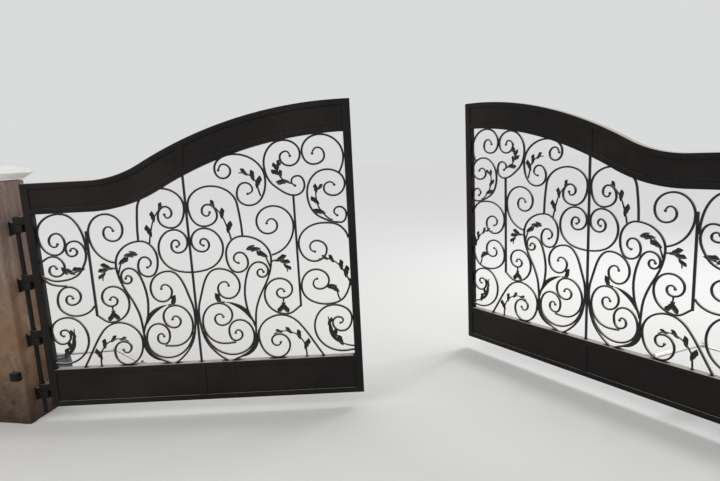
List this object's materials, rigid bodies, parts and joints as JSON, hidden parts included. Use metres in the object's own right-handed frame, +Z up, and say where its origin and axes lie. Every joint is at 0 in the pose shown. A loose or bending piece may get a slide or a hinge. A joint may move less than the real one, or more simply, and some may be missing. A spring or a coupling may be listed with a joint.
{
  "type": "double driveway gate",
  "caption": "Double wrought iron driveway gate: ogee-topped leaves of scrollwork and leaf sprays, swinging inwards on rods from stucco pillars, moved by crank-and-link operators.",
  "frame": {"origin": "middle of the left pillar's base, on the ground, seen from outside the gate", "axes": "+X along the closed gate to the right pillar, +Y inwards up the drive, the way the leaves open, +Z up"},
  "size_m": [5.852, 1.695, 2.051],
  "materials": {
    "stucco": "matte",
    "cap_stone": "matte",
    "frame_iron": "satin",
    "panel_iron": "satin",
    "scroll_iron": "satin",
    "acanthus_iron": "satin",
    "hinge_iron": "satin",
    "operator_casing": "satin",
    "operator_steel": "satin",
    "arm_steel": "satin",
    "photocell_plastic": "matte"
  },
  "bodies": {
    "posts": {"left_pillar": "stucco", "left_cap": "cap_stone", "left_hinge_lugs": "hinge_iron", "left_hinge_rod": "hinge_iron", "left_photocell": "photocell_plastic", "left_operator_plate": "operator_steel", "left_operator_casing": "operator_casing", "right_pillar": "stucco", "right_cap": "cap_stone", "right_hinge_lugs": "hinge_iron", "right_hinge_rod": "hinge_iron", "right_photocell": "photocell_plastic", "right_operator_plate": "operator_steel", "right_operator_casing": "operator_casing"},
    "left_leaf": {"left_hinge_stile": "frame_iron", "left_meeting_stile": "frame_iron", "left_top_rail": "frame_iron", "left_top_panel": "panel_iron", "left_bottom_rail": "frame_iron", "left_bottom_panel": "panel_iron", "left_middle_upright": "scroll_iron", "left_side_uprights": "scroll_iron", "left_hinge_scrolls": "scroll_iron", "left_crest_scrolls": "scroll_iron", "left_acanthus": "acanthus_iron", "left_knuckles": "hinge_iron", "left_arm_bracket": "operator_steel"},
    "right_leaf": {"right_hinge_stile": "frame_iron", "right_meeting_stile": "frame_iron", "right_top_rail": "frame_iron", "right_top_panel": "panel_iron", "right_bottom_rail": "frame_iron", "right_bottom_panel": "panel_iron", "right_middle_upright": "scroll_iron", "right_side_uprights": "scroll_iron", "right_hinge_scrolls": "scroll_iron", "right_crest_scrolls": "scroll_iron", "right_acanthus": "acanthus_iron", "right_knuckles": "hinge_iron", "right_arm_bracket": "operator_steel"},
    "left_crank": {"left_crank": "arm_steel"},
    "left_link": {"left_link": "arm_steel"},
    "right_crank": {"right_crank": "arm_steel"},
    "right_link": {"right_link": "arm_steel"}
  },
  "joints": [
    {"name": "left_leaf_swing", "type": "hinge", "parent": "posts", "child": "left_leaf", "pos_m": [0.36, -0.05, 0.1], "axis": [0, 0, 1], "range_deg": [-11, 79]},
    {"name": "left_crank_turn", "type": "hinge", "parent": "posts", "child": "left_crank", "pos_m": [-0.015, 0.19, 0.34], "axis": [0, 0, 1], "range_deg": [-11, 79]},
    {"name": "left_elbow_turn", "type": "hinge", "parent": "left_crank", "child": "left_link", "pos_m": [0.63615, 0.37769, 0.34], "axis": [0, 0, 1], "range_deg": [-79, 11]},
    {"name": "right_leaf_swing", "type": "hinge", "parent": "posts", "child": "right_leaf", "pos_m": [4.808, -0.05, 0.1], "axis": [0, 0, 1], "range_deg": [-45, 45]},
    {"name": "right_crank_turn", "type": "hinge", "parent": "posts", "child": "right_crank", "pos_m": [5.183, 0.19, 0.34], "axis": [0, 0, 1], "range_deg": [-45, 45]},
    {"name": "right_elbow_turn", "type": "hinge", "parent": "right_crank", "child": "right_link", "pos_m": [4.74813, 0.70972, 0.34], "axis": [0, 0, 1], "range_deg": [-45, 45]}
  ],
  "couplings": [
    {"joint": "left_crank_turn", "follows": "left_leaf_swing", "ratio": 1},
    {"joint": "left_elbow_turn", "follows": "left_leaf_swing", "ratio": -1},
    {"joint": "right_crank_turn", "follows": "right_leaf_swing", "ratio": 1},
    {"joint": "right_elbow_turn", "follows": "right_leaf_swing", "ratio": -1}
  ]
}
